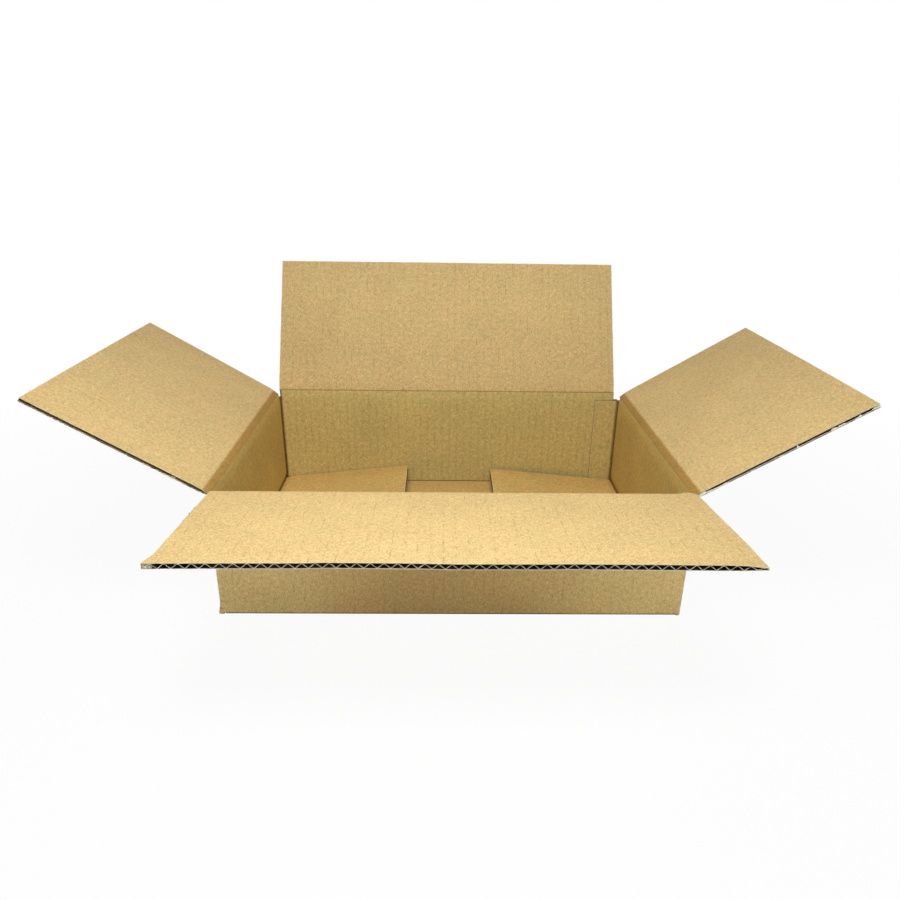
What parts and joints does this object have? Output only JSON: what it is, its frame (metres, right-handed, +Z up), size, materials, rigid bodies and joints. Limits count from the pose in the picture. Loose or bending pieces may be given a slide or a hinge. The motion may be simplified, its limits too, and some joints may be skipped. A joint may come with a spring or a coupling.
{
  "type": "bottle shipping box",
  "caption": "Low open shipping carton of brown corrugated board with hinged top and bottom flaps and a glued corner seam, for packing bottles lying side by side.",
  "frame": {"origin": "centre of the walls' plan, on the plane that the outer bottom flaps rest on", "axes": "+X to the right along the box's length, +Y from the front wall to the rear wall, +Z up out of the opening"},
  "size_m": [0.5868, 0.4901, 0.2154],
  "materials": {
    "kraft_board": "matt brown kraft liner with faint flute lines, fine fibre specks and pale cut edges"
  },
  "bodies": {
    "wall_sleeve": {"wall_sleeve": "kraft_board"},
    "front_top_flap": {"front_top_flap": "kraft_board"},
    "rear_top_flap": {"rear_top_flap": "kraft_board"},
    "left_top_flap": {"left_top_flap": "kraft_board"},
    "right_top_flap": {"right_top_flap": "kraft_board"},
    "front_bottom_flap": {"front_bottom_flap": "kraft_board"},
    "rear_bottom_flap": {"rear_bottom_flap": "kraft_board"},
    "left_bottom_flap": {"left_bottom_flap": "kraft_board"},
    "right_bottom_flap": {"right_bottom_flap": "kraft_board"}
  },
  "joints": [
    {"name": "front_top_crease", "type": "hinge", "parent": "wall_sleeve", "child": "front_top_flap", "pos_m": [0, -0.1382, 0.1002], "axis": [1, 0, 0], "range_deg": [-175.5, 44.5]},
    {"name": "rear_top_crease", "type": "hinge", "parent": "wall_sleeve", "child": "rear_top_flap", "pos_m": [-0.0025, 0.1382, 0.1002], "axis": [-1, 0, 0], "range_deg": [-123.5, 96.5]},
    {"name": "left_top_crease", "type": "hinge", "parent": "wall_sleeve", "child": "left_top_flap", "pos_m": [-0.1742, 0, 0.0963], "axis": [0, -1, 0], "range_deg": [-150, 70]},
    {"name": "right_top_crease", "type": "hinge", "parent": "wall_sleeve", "child": "right_top_flap", "pos_m": [0.1742, 0, 0.0963], "axis": [0, 1, 0], "range_deg": [-149.5, 70.5]},
    {"name": "front_bottom_crease", "type": "hinge", "parent": "wall_sleeve", "child": "front_bottom_flap", "pos_m": [0, -0.1382, 0.0018], "axis": [-1, 0, 0], "range_deg": [0, 180]},
    {"name": "rear_bottom_crease", "type": "hinge", "parent": "wall_sleeve", "child": "rear_bottom_flap", "pos_m": [-0.0025, 0.1382, 0.0018], "axis": [1, 0, 0], "range_deg": [0, 180]},
    {"name": "left_bottom_crease", "type": "hinge", "parent": "wall_sleeve", "child": "left_bottom_flap", "pos_m": [-0.1742, 0, 0.0057], "axis": [0, -1, 0], "range_deg": [-6, 54]},
    {"name": "right_bottom_crease", "type": "hinge", "parent": "wall_sleeve", "child": "right_bottom_flap", "pos_m": [0.1742, -0.0018, 0.0057], "axis": [0, 1, 0], "range_deg": [-5, 55]}
  ]
}
